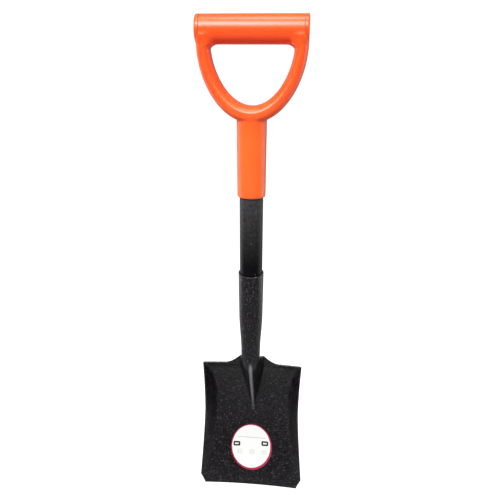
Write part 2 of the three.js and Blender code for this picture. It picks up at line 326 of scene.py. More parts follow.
def powderCoat(name, speckle=0.7, flakeShare=0.07, wear=0.35, bump=0.2, specular=0.30, grazingSheen=0.0, crest=None):
    material, shader = newMaterial(name)
    tree = material.node_tree
    grain = useGroup(tree, fineGrain, pitch=powderLook["grainPitch"])
    spots = useGroup(tree, flakes, pitch=powderLook["flakePitch"], share=flakeShare)
    edge = useGroup(tree, edgeWear, start=0.53, width=0.06, amount=wear)
    patches, flake, worn = grain.outputs["patches"], spots.outputs["flake"], edge.outputs["worn"]
    ground = blendColour(tree, patches, powderLook["dark"], powderLook["light"])
    toned = maths(tree, "MULTIPLY", spots.outputs["tone"], speckle)
    speckled = blendColour(tree, toned, ground, powderLook["speckle"])
    sparkled = blendColour(tree, flake, speckled, powderLook["flake"])
    # the pale colour of the worn edges also carries the painted highlight along the rib's crest
    if crest:
        worn = maths(tree, "MAXIMUM", worn, crestHighlight(tree, crest))
    # painted sheen: the colour turns pale where the socket is seen at a grazing angle, standing in for the
    # light it reflects there
    grazing = maths(tree, "POWER", tree.nodes.new("ShaderNodeLayerWeight").outputs["Facing"], 6.0)
    height = addNode(tree, "ShaderNodeSeparateXYZ", Vector=placeIn(tree)).outputs[2]
    onSocket = fade(tree, height, powderLook["sheenBottom"] * mm, powderLook["sheenFade"] * mm)
    sheenShare = maths(tree, "MULTIPLY", maths(tree, "MULTIPLY", grazing, onSocket), grazingSheen, clamp=True)
    sheened = blendColour(tree, sheenShare, sparkled, powderLook["bareAndShine"])
    setInput(tree, shader, "Base Color", blendColour(tree, worn, sheened, powderLook["bareAndShine"]))
    rough = patchyRoughness(tree, grain, powderLook)
    shine = maths(tree, "MULTIPLY", flake, powderLook["flakeShine"])
    setInput(tree, shader, "Roughness", maths(tree, "SUBTRACT", rough, shine))
    shader.inputs["Specular IOR Level"].default_value = specular
    addBump(tree, shader, grain, bump, 0.0003)
    return material


# deep is the orange darkened by painted shade on the bar and bow, base the paler orange of the lit sleeve
plasticLook = dict(base=(0.95, 0.135, 0.021, 1), deep=(0.94, 0.074, 0.008, 1), scuffed=(0.96, 0.19, 0.05, 1),
                   paintedLightFrom=-45, paintedLightFade=60, paintedLightShare=0.75, patchShare=0.25,
                   roughness=0.31, roughSwing=0.07)


def mouldedPlastic(name):
    # painted light and shade: orange that turns paler from the bar down towards the sleeve, where more light
    # falls, mixed with a patchy tone
    material, shader = newMaterial(name)
    tree = material.node_tree
    grain = useGroup(tree, fineGrain, pitch=0.0007)
    edge = useGroup(tree, edgeWear, start=0.57, width=0.06, amount=0.35)
    patches = grain.outputs["patches"]
    height = addNode(tree, "ShaderNodeSeparateXYZ", Vector=placeIn(tree)).outputs[2]
    # painted light: 0 on the bar and upper bow, rising to 1 at the sleeve
    down = fade(tree, plasticLook["paintedLightFrom"] * mm, height, plasticLook["paintedLightFade"] * mm)
    tone = maths(tree, "ADD", maths(tree, "MULTIPLY", down, plasticLook["paintedLightShare"]),
                 maths(tree, "MULTIPLY", patches, plasticLook["patchShare"]))
    ground = blendColour(tree, tone, plasticLook["deep"], plasticLook["base"])
    scuffed = blendColour(tree, edge.outputs["worn"], ground, plasticLook["scuffed"])
    setInput(tree, shader, "Base Color", scuffed)
    shader.inputs["Specular IOR Level"].default_value = 0.4
    shader.inputs["Subsurface Weight"].default_value = 0.3
    shader.inputs["Subsurface Radius"].default_value = (1.0, 0.35, 0.12)
    shader.inputs["Subsurface Scale"].default_value = 0.008
    setInput(tree, shader, "Roughness", patchyRoughness(tree, grain, plasticLook))
    addBump(tree, shader, grain, 0.05, 0.00012)
    return material


zincLook = dict(dull=(0.36, 0.35, 0.33, 1), clean=(0.58, 0.57, 0.55, 1), rubbed=(0.75, 0.74, 0.72, 1),
                roughness=0.26, roughSwing=0.2)


def platedSteel(name):
    material, shader = newMaterial(name)
    tree = material.node_tree
    grain = useGroup(tree, fineGrain, pitch=0.0006)
    edge = useGroup(tree, edgeWear, start=0.52, width=0.08, amount=0.6)
    ground = blendColour(tree, grain.outputs["patches"], zincLook["dull"], zincLook["clean"])
    setInput(tree, shader, "Base Color", blendColour(tree, edge.outputs["worn"], ground, zincLook["rubbed"]))
    shader.inputs["Metallic"].default_value = 1.0
    setInput(tree, shader, "Roughness", patchyRoughness(tree, grain, zincLook))
    addBump(tree, shader, grain, 0.3, 0.0001)
    return material


# the blade's coat has a painted sheen on the socket and a painted highlight along the rib's crest
bladeCoat = powderCoat("bladeCoat", wear=0.7, grazingSheen=0.8,
                       crest=dict(half=3.0, aside=0.6, behind=44, top=-398, topFade=10, end=-512, endFade=45,
                                  strength=0.9))
tubeCoat = powderCoat("tubeCoat", speckle=0.1, flakeShare=0.01, bump=0.06, specular=0.08)
weldCoat = powderCoat("weldCoat", speckle=0.3, flakeShare=0.02, wear=0.6)
gripPlastic = mouldedPlastic("gripPlastic")
zincPlate = platedSteel("zincPlate")
print("materials made")


# Blade: pan, rib and rolled socket, one steel pressing. Sizes in mm, heights from the hang point down.

bladeSize = dict(sheet=1.6, edgeRound=0.35, frontDip=2, seam=2.4,
                 socketTop=-270, socketBottom=-393, socketRadius=16.05, taper=0.012,
                 neckIn=2.0, neck=(60, 112),
                 panTop=-419.5, panTip=-619.4, tipCut=14, waist=66.8, waistAt=72, cornerFlare=2.7,
                 tipFlare=8.42, tipRun=114, rimDepth=(20, 3), crown=(4, 2.5), dishDepth=24, dishPeak=0.2044,
                 wall=14, wallTop=1.5, wallTip=8, wallAt=0.35,
                 shoulder=18.5, ribSlope=0.267, ribFrom=-505, ribSpread=0.08, ribTop=-407, ribEnd=-502,
                 tailHalf=3.6, crestRadius=2.5, noseLength=26, riseWidth=20, riseReach=50)
noseSteps, ribSteps, floorSteps, wallSteps = 14, 26, 34, 14
halfSteps = ribSteps + floorSteps + wallSteps


def socketRadius(z):
    below = bladeSize["socketTop"] - z
    drawnIn = bladeSize["neckIn"] * ease(below, *bladeSize["neck"])
    return bladeSize["socketRadius"] - bladeSize["taper"] * below - drawnIn


def panShare(z):
    return limit((bladeSize["panTop"] - z) / (bladeSize["panTop"] - bladeSize["panTip"]), 0, 1)


def rimHalf(z):
    down = max(0, bladeSize["panTop"] - z)
    if down < bladeSize["waistAt"]:
        return bladeSize["waist"] + bladeSize["cornerFlare"] * (1 - down / bladeSize["waistAt"]) ** 2
    past = (down - bladeSize["waistAt"]) / bladeSize["tipRun"]
    return bladeSize["waist"] + bladeSize["tipFlare"] * past ** 1.35


def rimDepth(z):
    return mix(*bladeSize["rimDepth"], panShare(z))


def dish(z):
    # dishPeak is the greatest value of the two powers together
    share = panShare(z)
    return bladeSize["dishDepth"] * share ** 0.9 * (1 - share) ** 1.5 / bladeSize["dishPeak"]


def wallWidth(z):
    share = panShare(z)
    widest = bladeSize["wallAt"]
    if share < widest:
        return mix(bladeSize["wallTop"], bladeSize["wall"], 1 - ((widest - share) / widest) ** 2)
    return mix(bladeSize["wallTip"], bladeSize["wall"], 1 - ((share - widest) / (1 - widest)) ** 2.2)


def foldHalf(z):
    return rimHalf(z) - wallWidth(z)


def floorDepth(x, z):
    crown = mix(*bladeSize["crown"], panShare(z))
    return rimDepth(z) + dish(z) + crown * (1 - (x / foldHalf(z)) ** 2)


def ribHalf(z):
    # the rib's half width at its foot: a straight V that stops widening near the socket
    opening = bladeSize["ribSlope"] * (z - bladeSize["ribFrom"])
    spread = bladeSize["ribSpread"] * max(0, bladeSize["ribEnd"] - z)
    rounded = bladeSize["shoulder"] * math.tanh(opening / bladeSize["shoulder"])
    return max(bladeSize["tailHalf"], rounded) + spread


def edgeHeight(step):
    # the pressing's top edge: it climbs from the corners to the socket
    if step <= ribSteps:
        shoulder = limit((step - noseSteps) / (ribSteps - noseSteps), 0, 1)
        return mix(bladeSize["socketBottom"], bladeSize["ribTop"], shoulder)
    out = limit((step - ribSteps) / floorSteps, 0, 1) * bladeSize["riseReach"] / bladeSize["riseWidth"]
    return bladeSize["panTop"] + (bladeSize["ribTop"] - bladeSize["panTop"]) * limit(1 - out, 0, 1) ** 1.6


def socketFront():
    # the radius of the socket's lower end, to the middle of its sheet
    return socketRadius(bladeSize["socketBottom"]) - bladeSize["sheet"] / 2


def crestDepth(z):
    share = limit((bladeSize["socketBottom"] - z) / (bladeSize["socketBottom"] - bladeSize["ribEnd"]), 0, 1)
    return mix(-socketFront(), floorDepth(0, z), share ** 1.12)


def ribPoint(share, z):
    # share 0 is the crest and 1 the foot; also gives the turn where the round nose meets the flank
    closing = limit((bladeSize["socketBottom"] - z) / bladeSize["noseLength"], 0, 1)
    shrink = 1 - (1 - closing ** 2.2) ** 0.6
    radius = mix(socketFront(), bladeSize["crestRadius"], shrink)
    centre = crestDepth(z) + radius
    footX = ribHalf(z)
    footY = floorDepth(footX, z)
    reach = math.hypot(footX, footY - centre)
    tangent = math.atan2(footX, centre - footY) - math.acos(min(1, radius / reach))
    startX, startY = radius * math.sin(tangent), centre - radius * math.cos(tangent)
    arc, flank = radius * tangent, math.hypot(footX - startX, footY - startY)
    noseShare = noseSteps / ribSteps
    arcShare = arc / (arc + flank)
    if share < noseShare:
        topShare = share / noseShare * arcShare
    else:
        topShare = mix(arcShare, 1, (share - noseShare) / (1 - noseShare))
    travel = mix(topShare, share, shrink) * (arc + flank)
    if travel <= arc:
        turn = travel / radius
        return radius * math.sin(turn), centre - radius * math.cos(turn), tangent
    along = (travel - arc) / flank
    return mix(startX, footX, along), mix(startY, footY, along), tangent


def panPoint(column, down):
    side = -1 if column < 0 else 1
    step = abs(column)
    wall = limit((step - ribSteps - floorSteps) / wallSteps, 0, 1)
    z = mix(edgeHeight(step), bladeSize["panTip"] + bladeSize["tipCut"] * wall, down)
    if step <= ribSteps:
        x, y, _ = ribPoint(step / ribSteps, z)
    elif wall > 0:
        x = mix(foldHalf(z), rimHalf(z), wall)
        y = mix(floorDepth(foldHalf(z), z), rimDepth(z), wall)
    else:
        x = mix(ribHalf(z), foldHalf(z), (step - ribSteps) / floorSteps)
        y = floorDepth(x, z)
    return side * x * mm, y * mm, z * mm


def socketPoint(turn, down):
    front = ease(math.cos(turn), -0.2, 1)
    z = mix(bladeSize["socketTop"] - bladeSize["frontDip"] * front, bladeSize["socketBottom"], down)
    radius = socketRadius(z) - bladeSize["sheet"] / 2
    return radius * math.sin(turn) * mm, -radius * math.cos(turn) * mm, z * mm


def addGrid(points, faces, rows):
    first = len(points)
    width = len(rows[0])
    for row in rows:
        points.extend(row)
    for r in range(len(rows) - 1):
        for c in range(width - 1):
            a = first + r * width + c
            faces.append((a, a + width, a + width + 1, a + 1))


def makeBlade():
    points, faces = [], []
    socketRows, panRows, rearSteps = 60, 130, 22
    reach = ribPoint(0, bladeSize["socketBottom"])[2]
    seam = math.pi - bladeSize["seam"] / 2 / socketRadius(bladeSize["socketTop"])
    front = [reach * i / noseSteps for i in range(-noseSteps, noseSteps + 1)]
    rear = [mix(reach, seam, i / rearSteps) for i in range(1, rearSteps + 1)]
    turns = [-t for t in reversed(rear)] + front + rear
    columns = range(-halfSteps, halfSteps + 1)
    addGrid(points, faces, [[socketPoint(t, r / socketRows) for t in turns] for r in range(socketRows + 1)])
    addGrid(points, faces, [[panPoint(c, r / panRows) for c in columns] for r in range(panRows + 1)])
    blade = meshFrom("bladePressing", points, faces)
    work = bmesh.new()
    work.from_mesh(blade.data)
    bmesh.ops.remove_doubles(work, verts=work.verts, dist=1e-5)
    smoothTop = (bladeSize["socketBottom"] + 8) * mm
    inner = [v for v in work.verts if not v.is_boundary and v.co.z < smoothTop]
    for _ in range(7):  # rounds the folds of the pressing
        bmesh.ops.smooth_vert(work, verts=inner, factor=0.5, use_axis_x=True, use_axis_y=True, use_axis_z=True)
    work.to_mesh(blade.data)
    work.free()
    thick = blade.modifiers.new("thickness", "SOLIDIFY")
    thick.thickness = bladeSize["sheet"] * mm
    thick.offset = 0
    edge = blade.modifiers.new("edge", "BEVEL")
    edge.width = bladeSize["edgeRound"] * mm
    edge.segments = 2
    edge.limit_method = "ANGLE"
    edge.angle_limit = math.radians(50)
    bake(blade)
    sharpen(blade, 60)
    dress(blade, bladeCoat)
    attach(blade, "root")
    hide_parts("blade")


makeBlade()
print("blade made")


# Shaft tube

tubeSize = dict(top=span("shaft_tube", 2)[1], bottom=span("shaft_tube", 2)[0],
                radius=span("shaft_tube", 0)[1], wall=1.5, clearance=0.3, swageTop=-262, swageSteps=14)


def tubeRadius(z):
    # straight down to the socket, then drawn in to fit inside it
    return min(tubeSize["radius"], socketRadius(z) - bladeSize["sheet"] - tubeSize["clearance"])


def makeTube():
    steps = tubeSize["swageSteps"]
    heights = [tubeSize["top"]]
    heights += [mix(tubeSize["swageTop"], tubeSize["bottom"], i / steps) for i in range(steps + 1)]
    outside = [(tubeRadius(z), z) for z in heights]
    inside = [(tubeRadius(z) - tubeSize["wall"], z) for z in reversed(heights)]
    tube = turnedPiece("shaftTube", outside + inside)
    sharpen(tube, 40)
    dress(tube, tubeCoat)
    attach(tube, "root")
    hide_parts("shaft_tube")


makeTube()
print("tube made")


# Grip: bar, bow and sleeve, one moulding, with a round plug in each end of the bar

gripSize = dict(barRadius=15.7, halfLength=span("grip_cap_right", 0)[1],
                boreRadius=12.5, seatRadius=15.87, seatGap=0.07,
                outerHalf=62.1, outerDrop=84.2, outerPower=1.8, innerHalf=47, innerDrop=64.8, innerPower=1.7,
                halfDepth=14.5, neckDepth=19, cornerFillet=3.3, runIn=0.06, runRise=9,
                sleeveTop=-78, sleeveBottom=span("d_handle", 2)[0],
                sleeveTopRadius=17.5, sleeveBottomRadius=17,
                tubeBore=14.7, boreAbove=0.3, barFillet=6, neckFillet=1.6, sleeveRound=3.2, barRound=0.4,
                voxel=0.85)
capSize = dict(flange=4.5, gap=0.1, plug=12.2, plugLength=9, recess=(10.6, 9.4), recessDepth=1)
barEnd = gripSize["halfLength"] - capSize["flange"] - capSize["gap"]


def bowOutline(half, drop, power, turn):
    return Vector((half * math.cos(turn), -drop * math.sin(turn) ** (2 / power)))


def bowSection(along):
    # the bow's outer and inner edge and half depth; both ends run on into the bar
    runIn = gripSize["runIn"]
    turn = limit((along - runIn) / (1 - 2 * runIn), 0, 1) * math.pi
    over = max(runIn - along, along - (1 - runIn), 0) / runIn
    outer = bowOutline(gripSize["outerHalf"], gripSize["outerDrop"], gripSize["outerPower"], turn)
    inner = bowOutline(gripSize["innerHalf"], gripSize["innerDrop"], gripSize["innerPower"], turn)
    side = 1 if along < 0.5 else -1
    fillet = gripSize["cornerFillet"] * limit(1 + inner.y / 6, 0, 1) ** 2
    inner.x -= side * fillet
    outer.x += side * over
    outer.y += over * gripSize["runRise"]
    inner.y += over * gripSize["runRise"]
    depth = mix(gripSize["halfDepth"], gripSize["neckDepth"], math.sin(turn) ** 3)
    return outer, inner, depth


def makeBow():
    points, faces = [], []
    around, steps = 72, 220
    for i in range(steps + 1):
        outer, inner, depth = bowSection(i / steps)
        centre = (outer + inner) / 2
        for j in range(around):
            angle = 2 * math.pi * j / around
            across = math.copysign(abs(math.cos(angle)) ** 0.8, math.cos(angle))
            deep = math.copysign(abs(math.sin(angle)) ** 0.8, math.sin(angle))
            p = centre + (outer - centre) * across
            points.append((p.x * mm, -deep * depth * mm, p.y * mm))
    for i in range(steps):
        for j in range(around):
            a, b = i * around + j, i * around + (j + 1) % around
            faces.append((a, b, b + around, a + around))
    faces.append(tuple(range(around)))
    faces.append(tuple(reversed(range(steps * around, (steps + 1) * around))))
    return faceOut(meshFrom("bow", points, faces))


def lay(piece):
    # turns a piece made about Z so that it lies along the grip bar
    lift = Matrix.Translation((0, 0, gripSize["barRadius"] * mm))
    return placed(piece, lift @ Matrix.Rotation(math.pi / 2, 4, "Y"))


def cut(piece, tool, operation="DIFFERENCE"):
    step = piece.modifiers.new("cut", "BOOLEAN")
    step.operation = operation
    step.object = tool
    step.solver = "MANIFOLD"
    bake(piece)
    bpy.data.objects.remove(tool)


def softer(a, b, reach):
    # the lesser of two distances, rounded where they are nearly equal
    share = max(reach - abs(a - b), 0) / reach
    return min(a, b) - share * share * reach / 4


def handleDistance(p, bowTree):
    # how far a point, in mm, is outside the blended moulding
    bar = math.hypot(p.y, p.z - gripSize["barRadius"]) - gripSize["barRadius"]
    bar = -softer(-bar, barEnd - abs(p.x), gripSize["barRound"])
    nearest, normal, _, reach = bowTree.find_nearest(p)
    bow = math.copysign(reach, (p - nearest).dot(normal))
    low, high = gripSize["sleeveBottom"], gripSize["sleeveTop"]
    radius = mix(gripSize["sleeveBottomRadius"], gripSize["sleeveTopRadius"], (p.z - low) / (high - low))
    sleeve = -softer(-(math.hypot(p.x, p.y) - radius), p.z - low, gripSize["sleeveRound"])
    sleeve = max(sleeve, p.z - high)
    return softer(softer(bar, bow, gripSize["barFillet"]), sleeve, gripSize["neckFillet"])


def slopeAt(distance, p, here, step):
    shifts = (step, 0, 0), (0, step, 0), (0, 0, step)
    return Vector([distance(p + Vector(shift)) - here for shift in shifts])


def settle(piece, distance, rounds=2):
    # moves each point on to the surface where the distance is nought
    for _ in range(rounds):
        for vertex in piece.data.vertices:
            p = vertex.co / mm
            here = distance(p)
            slope = slopeAt(distance, p, here, 0.05)
            if slope.length > 0.01:
                vertex.co = (p - slope.normalized() * here * 0.9) * mm
    piece.data.update()


def trueNormals(piece, distance):
    # shades the outer skin by the slope of the distance, and leaves the cut faces flat
    slopes = []
    for vertex in piece.data.vertices:
        p = vertex.co / mm
        slopes.append(slopeAt(distance, p, distance(p), 0.1).normalized())
    normals = []
    for polygon in piece.data.polygons:
        for corner in polygon.vertices:
            onSkin = slopes[corner].dot(polygon.normal) > 0.8
            normals.append(slopes[corner] if onSkin else polygon.normal.copy())
    piece.data.normals_split_custom_set(normals)


def makeHandle():
    radius = gripSize["barRadius"]
    barProfile = [(0, -barEnd), (radius, -barEnd), (radius, barEnd), (0, barEnd)]
    handle = lay(turnedPiece("gripMoulding", barProfile))
    bow = makeBow()
    bowPoints = [v.co / mm for v in bow.data.vertices]
    bowTree = BVHTree.FromPolygons(bowPoints, [tuple(f.vertices) for f in bow.data.polygons])
    cut(handle, bow, "UNION")
    sleeveProfile = [(0, gripSize["sleeveTop"]), (0, gripSize["sleeveBottom"]),
                     (gripSize["sleeveBottomRadius"], gripSize["sleeveBottom"]),
                     (gripSize["sleeveTopRadius"], gripSize["sleeveTop"])]
    cut(handle, turnedPiece("sleeve", sleeveProfile), "UNION")
    remesh = handle.modifiers.new("blend", "REMESH")
    remesh.mode = "VOXEL"
    remesh.voxel_size = gripSize["voxel"] * mm
    bake(handle)
    settle(handle, lambda p: handleDistance(p, bowTree))
    # the bar's bore, wider where the end caps sit, and the bore for the tube; both run past the moulding
    seat, past = barEnd + gripSize["seatGap"], 70
    wide, narrow = gripSize["seatRadius"], gripSize["boreRadius"]
    boreLine = [(0, -past), (wide, -past), (wide, -seat), (narrow, -seat),
                (narrow, seat), (wide, seat), (wide, past), (0, past)]
    cut(handle, lay(turnedPiece("barBore", boreLine)))
    bore, low, high = gripSize["tubeBore"], -180, tubeSize["top"] + gripSize["boreAbove"]
    cut(handle, turnedPiece("tubeBore", [(0, low), (bore, low), (bore, high), (0, high)]))
    sharpen(handle, 50)
    trueNormals(handle, lambda p: handleDistance(p, bowTree))
    dress(handle, gripPlastic)
    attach(handle, "root")
    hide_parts("d_handle")


def makeCap(name, node, side):
    # a plug that goes into the bar, with a rounded flange and a shallow recess in its face
    top = gripSize["halfLength"]
    inner = top - capSize["flange"]
    start = inner - capSize["plugLength"]
    recessRim, recessFloor = capSize["recess"]
    floor = top - capSize["recessDepth"]
    corners = [(0, start), (capSize["plug"], start), (capSize["plug"], inner), (gripSize["barRadius"], inner),
               (gripSize["barRadius"], top), (recessRim, top), (recessFloor, floor), (0, floor)]
    capPiece = turnedPiece(name, roundedProfile(corners, [0, 0.6, 0, 0.15, 2.2, 0.7, 0.7, 0]))
    if side < 0:
        placed(capPiece, Matrix.Rotation(math.pi, 4, "X"))
    faceOut(lay(capPiece))
    sharpen(capPiece, 50)
    dress(capPiece, gripPlastic)
    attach(capPiece, "root")
    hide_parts(node)


makeHandle()
makeCap("endCapLeft", "grip_cap_left", -1)
makeCap("endCapRight", "grip_cap_right", 1)
print("grip made")


# Label: a thin oval sticker that follows the pan. Its printed marks are plain shapes in the material.

labelSize = dict(middle=sum(span("label", 2)) / 2, halfWidth=30.8, halfHeight=32.8, lean=7, gap=0.3,
                 thickness=0.3, ringShift=(0.5, 0.9), ringMargin=(2.0, 2.1),
                 boxes=((-22.4, 3.9), (20.0, 5.9)), boxHalf=(5.2, 3.4), boxLine=2.4, boxCorner=2.0,
                 rule=(0.0, 13.6), ruleHalf=(21.5, 0.45), dash=1.3,
                 panels=(-17.5, 1.0, 19.5), panelHeight=-7.0, panelHalf=(4.2, 3.6))
labelLook = dict(ring=(0.40, 0.016, 0.060, 1), ink=(0.012, 0.012, 0.014, 1), paper=(0.80, 0.80, 0.79, 1),
                 shade=(0.74, 0.74, 0.72, 1), ruleInk=0.6, panelInk=0.12, roughness=0.38, roughSwing=0.2)


def boxMark(tree, across, up, place, half, line, corner):
    # a rounded frame: 1 on its line and 0 elsewhere
    off = [maths(tree, "ABSOLUTE", maths(tree, "SUBTRACT", value, middle))
           for value, middle in zip((across, up), place)]
    dx, dy = [maths(tree, "SUBTRACT", value, size - corner) for value, size in zip(off, half)]
    squares = [maths(tree, "POWER", maths(tree, "MAXIMUM", d, 0.0), 2.0) for d in (dx, dy)]
    far = maths(tree, "SQRT", maths(tree, "ADD", *squares))
    near = maths(tree, "MINIMUM", maths(tree, "MAXIMUM", dx, dy), 0.0)
    distance = maths(tree, "SUBTRACT", maths(tree, "ADD", far, near), corner)
    return maths(tree, "LESS_THAN", maths(tree, "ABSOLUTE", maths(tree, "ADD", distance, line / 2)), line / 2)


def insideRing(tree, across, up):
    # below 1 inside the printed oval ring and above 1 on it
    right = maths(tree, "ADD", across, labelSize["ringShift"][0])
    raised = maths(tree, "SUBTRACT", up, labelSize["ringShift"][1])
    sideMargin, endMargin = labelSize["ringMargin"]
    halves = labelSize["halfWidth"] - sideMargin, labelSize["halfHeight"] - endMargin
    squares = [maths(tree, "POWER", maths(tree, "DIVIDE", value, half), 2.0)
               for value, half in zip((right, raised), halves)]
    return maths(tree, "ADD", *squares)


def printedPaper(name):
    material, shader = newMaterial(name)
    tree = material.node_tree
    centred = addNode(tree, "ShaderNodeVectorMath", {"operation": "SUBTRACT"}, **{"#0": placeIn(tree)})
    centred.inputs[1].default_value = (0, 0, labelSize["middle"] * mm)
    inMm = addNode(tree, "ShaderNodeVectorMath", {"operation": "SCALE"}, Scale=1 / mm,
                   **{"#0": centred.outputs[0]})
    across, _, up = addNode(tree, "ShaderNodeSeparateXYZ", Vector=inMm.outputs[0]).outputs
    ring = maths(tree, "GREATER_THAN", insideRing(tree, across, up), 1.0)
    half, line, corner = labelSize["boxHalf"], labelSize["boxLine"], labelSize["boxCorner"]
    boxes = [boxMark(tree, across, up, place, half, line, corner) for place in labelSize["boxes"]]
    rule = boxMark(tree, across, up, labelSize["rule"], labelSize["ruleHalf"], 0.9, 0.3)
    dashes = maths(tree, "GREATER_THAN", maths(tree, "PINGPONG", across, labelSize["dash"]), 0.5)
    faint = maths(tree, "MULTIPLY", maths(tree, "MULTIPLY", rule, dashes), labelLook["ruleInk"])
    for side in labelSize["panels"]:
        panel = boxMark(tree, across, up, (side, labelSize["panelHeight"]), labelSize["panelHalf"], 4.2, 0.8)
        faint = maths(tree, "MAXIMUM", faint, maths(tree, "MULTIPLY", panel, labelLook["panelInk"]))
    inked = maths(tree, "MAXIMUM", maths(tree, "MAXIMUM", *boxes), faint)
    grain = useGroup(tree, fineGrain, pitch=0.0005)
    shaded = maths(tree, "MULTIPLY", grain.outputs["patches"], 0.25)
    ground = blendColour(tree, shaded, labelLook["paper"], labelLook["shade"])
    printed = blendColour(tree, inked, ground, labelLook["ink"])
    setInput(tree, shader, "Base Color", blendColour(tree, ring, printed, labelLook["ring"]))
    setInput(tree, shader, "Roughness", patchyRoughness(tree, grain, labelLook))
    addBump(tree, shader, grain, 0.08, 0.0001)
    return material


def makeLabel():
    points, faces = [], []
    rings, around = 16, 96
    lift = bladeSize["sheet"] / 2 + labelSize["gap"] + labelSize["thickness"] / 2
    lean = math.radians(labelSize["lean"])
    for r in range(rings + 1):
        for i in range(around):
            angle = 2 * math.pi * i / around
            a = labelSize["halfWidth"] * r / rings * math.cos(angle)
            b = labelSize["halfHeight"] * r / rings * math.sin(angle)
            x = a * math.cos(lean) - b * math.sin(lean)
            z = labelSize["middle"] + a * math.sin(lean) + b * math.cos(lean)
            points.append((x * mm, (floorDepth(x, z) - lift) * mm, z * mm))
    for r in range(rings):
        for i in range(around):
            a, b = r * around + i, r * around + (i + 1) % around
            faces.append((a, b, b + around, a + around))
    label = faceOut(meshFrom("label", points, faces), 1e-5)
    thick = label.modifiers.new("thickness", "SOLIDIFY")
    thick.thickness = labelSize["thickness"] * mm
    thick.offset = 0
    bake(label)
    sharpen(label, 50)
    dress(label, printedPaper("printedPaper"))
    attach(label, "root")
    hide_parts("label")


makeLabel()
print("label made")


# Fixings: two blind rivets and a weld bead on the socket, a screw in the sleeve

rivetSize = dict(height=sum(span("socket_rivet_left", 2)) / 2, turn=42,
                 head=4.6, dome=1.5, hole=1.25, lip=0.25, dimple=0.7, stand=0.05, shank=2.3, sunk=2.2,
                 stem=0.95, stemTip=0.75, stemSunk=2.0, stemTop=(0.45, 0.25))
weldSize = dict(top=span("socket_weld", 2)[1], bottom=span("socket_weld", 2)[0], radius=1.7, sunk=0.35,
                ripples=34, swell=0.16)


def newTree(name, inputs):
    tree = bpy.data.node_groups.new(name, "GeometryNodeTree")
    tree.interface.new_socket(name="Geometry", in_out="INPUT", socket_type="NodeSocketGeometry")
    for title, kind, value in inputs:
        socket = tree.interface.new_socket(name=title, in_out="INPUT", socket_type=kind)
        if value is not None:
            socket.default_value = value
    tree.interface.new_socket(name="Geometry", in_out="OUTPUT", socket_type="NodeSocketGeometry")
    return tree, tree.nodes.new("NodeGroupInput"), tree.nodes.new("NodeGroupOutput")


def finishTree(tree, shape, inside, out):
    # makes the shape real and gives it the finish
    solid = addNode(tree, "GeometryNodeRealizeInstances", Geometry=shape.outputs[0])
    finished = addNode(tree, "GeometryNodeSetMaterial", Geometry=solid.outputs[0],
                       Material=inside.outputs["finish"])
    tree.links.new(finished.outputs[0], out.inputs[0])


def runTree(piece, tree, **values):
    # replaces a piece's mesh with what a geometry tree makes of it
    modifier = piece.modifiers.new("tree", "NODES")
    modifier.node_group = tree
    for item in tree.interface.items_tree:
        if item.in_out == "INPUT" and item.name in values:
            modifier[item.identifier] = values[item.name]
    bake(piece)


def makeRivetTree():
    # stands one copy of the rivet at each side of the socket's seam, facing outwards
    inputs = [("count", "NodeSocketInt", 2), ("turn", scalar, 0.7), ("reach", scalar, 0.015),
              ("height", scalar, 0.0), ("finish", "NodeSocketMaterial", None)]
    tree, inside, out = newTree("rivetPair", inputs)
    index = tree.nodes.new("GeometryNodeInputIndex").outputs[0]
    share = maths(tree, "DIVIDE", index, maths(tree, "SUBTRACT", inside.outputs["count"], 1.0))
    side = maths(tree, "SUBTRACT", maths(tree, "MULTIPLY", share, 2.0), 1.0)
    angle = maths(tree, "MULTIPLY", inside.outputs["turn"], side)
    x, y = [maths(tree, "MULTIPLY", maths(tree, kind, angle), inside.outputs["reach"])
            for kind in ("SINE", "COSINE")]
    spot = addNode(tree, "ShaderNodeCombineXYZ", X=x, Y=y, Z=inside.outputs["height"])
    points = addNode(tree, "GeometryNodePoints", Count=inside.outputs["count"], Position=spot.outputs[0])
    turn = addNode(tree, "ShaderNodeCombineXYZ", Z=maths(tree, "MULTIPLY", angle, -1.0))
    copies = addNode(tree, "GeometryNodeInstanceOnPoints", Points=points.outputs[0],
                     Instance=inside.outputs["Geometry"], Rotation=turn.outputs[0])
    finishTree(tree, copies, inside, out)
    return tree


def makeRivets():
    size = rivetSize
    head, dome, hole, lip = size["head"], size["dome"], size["hole"], size["lip"]
    turns = [math.pi / 2 * i / 10 for i in range(11)]
    domeLine = [(hole + (head - hole) * math.cos(t), lip + (dome - lip) * math.sin(t)) for t in turns]
    headProfile = [(0, -size["sunk"]), (size["shank"], -size["sunk"]), (size["shank"], size["stand"]),
                   (head - lip, size["stand"])] + domeLine
    headProfile += [(hole, dome - size["dimple"]), (0, dome - size["dimple"])]
    low, high = [dome - drop for drop in size["stemTop"]]
    stemProfile = [(0, -size["stemSunk"]), (size["stem"], -size["stemSunk"]), (size["stem"], low),
                   (size["stemTip"], high), (0, high)]
    tree = makeRivetTree()
    reach = socketRadius(size["height"])
    for name, profile, nodes in (("rivets", headProfile, ("socket_rivet_left", "socket_rivet_right")),
                                 ("rivetStems", stemProfile, ("rivet_stem_left", "rivet_stem_right"))):
        rivet = turnedPiece(name, profile, 40)
        placed(rivet, Matrix.Rotation(-math.pi / 2, 4, "X"))
        runTree(rivet, tree, count=2, turn=math.radians(size["turn"]), reach=reach * mm,
                height=size["height"] * mm, finish=zincPlate)
        faceOut(rivet)
        sharpen(rivet, 50)
        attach(rivet, "root")
        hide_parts(*nodes)


